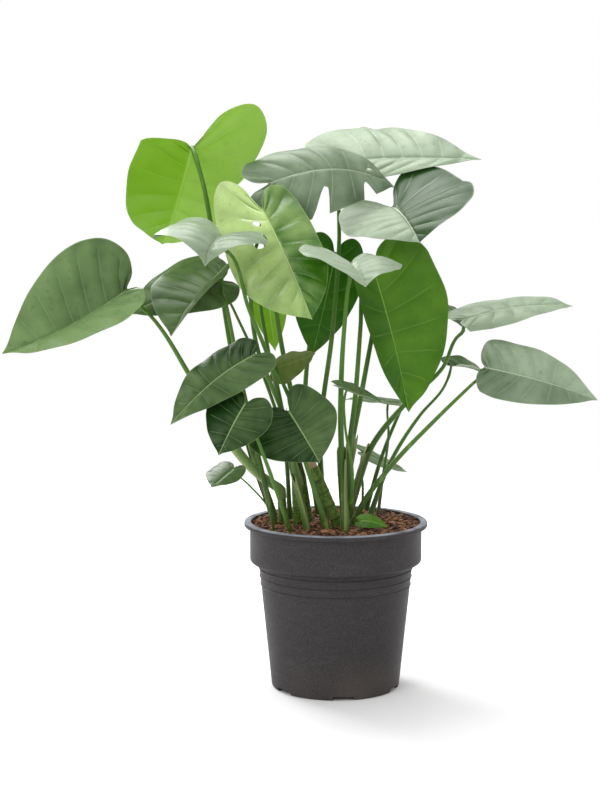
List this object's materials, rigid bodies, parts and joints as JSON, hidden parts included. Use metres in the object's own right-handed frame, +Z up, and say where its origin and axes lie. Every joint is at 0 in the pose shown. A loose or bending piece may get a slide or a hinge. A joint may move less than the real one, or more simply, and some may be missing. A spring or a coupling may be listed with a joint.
{
  "type": "potted monstera plant",
  "caption": "Potted monstera: a plain round nursery pot with a ribbed shoulder, filled with coir soil, and heart-shaped, cut leaf blades on long arching stalks.",
  "frame": {"origin": "centre of the pot's flat underside", "axes": "+Z up through the pot, +X to the right of the plant's front view, -Y towards the front"},
  "size_m": [0.6552, 0.3499, 0.6628],
  "materials": {
    "pot_plastic": "matte moulded plastic, charcoal grey, finely speckled, paler where the lip is worn",
    "soil": "coarse reddish-brown coir and bark, dry and matte",
    "cane": "ringed olive to grey-brown stem skin, satin",
    "stalk": "smooth green stalk skin, satin",
    "leaf_dark": "deep green waxy leaf, semi-gloss, pale midrib and margin",
    "leaf_mid": "fresh green waxy leaf, semi-gloss, pale midrib",
    "leaf_pale": "pale grey-green waxy leaf, semi-gloss, pale midrib",
    "leaf_backlit": "yellow-green leaf underside, satin, light shines through it"
  },
  "bodies": {
    "root": {"cane_inner": "cane", "cane_leaning": "cane", "cane_left": "cane", "cane_middle": "cane", "leaf_centre": "leaf_mid", "leaf_centre_edge_on": "leaf_dark", "leaf_centre_small": "leaf_pale", "leaf_dark_hanging": "leaf_dark", "leaf_far_left": "leaf_dark", "leaf_far_right_back": "leaf_dark", "leaf_far_right_lower": "leaf_mid", "leaf_far_right_upper": "leaf_mid", "leaf_left_back": "leaf_dark", "leaf_left_front": "leaf_dark", "leaf_left_small": "leaf_mid", "leaf_low_centre_heart": "leaf_dark", "leaf_low_left_heart": "leaf_dark", "leaf_low_left_long": "leaf_dark", "leaf_low_right": "leaf_dark", "leaf_low_right_back": "leaf_dark", "leaf_olive": "leaf_backlit", "leaf_pale_hanging": "leaf_backlit", "leaf_right_edge_on": "leaf_dark", "leaf_right_hanging": "leaf_dark", "leaf_right_pair": "leaf_mid", "leaf_soil_sprout": "leaf_backlit", "leaf_tiny_left": "leaf_dark", "leaf_top_centre": "leaf_pale", "leaf_top_left": "leaf_backlit", "leaf_top_right": "leaf_pale", "pot": "pot_plastic", "soil": "soil", "stalk_centre": "stalk", "stalk_centre_edge_on": "stalk", "stalk_centre_small": "stalk", "stalk_dark_hanging": "stalk", "stalk_far_left": "stalk", "stalk_far_right_back": "stalk", "stalk_far_right_lower": "stalk", "stalk_far_right_upper": "stalk", "stalk_left_back": "stalk", "stalk_left_front": "stalk", "stalk_left_small": "stalk", "stalk_low_centre_heart": "stalk", "stalk_low_left_heart": "stalk", "stalk_low_left_long": "stalk", "stalk_low_right": "stalk", "stalk_low_right_back": "stalk", "stalk_olive": "stalk", "stalk_pale_hanging": "stalk", "stalk_right_edge_on": "stalk", "stalk_right_hanging": "stalk", "stalk_right_pair": "stalk", "stalk_soil_sprout": "stalk", "stalk_tiny_left": "stalk", "stalk_top_centre": "stalk", "stalk_top_left": "stalk", "stalk_top_right": "stalk"}
  },
  "joints": []
}
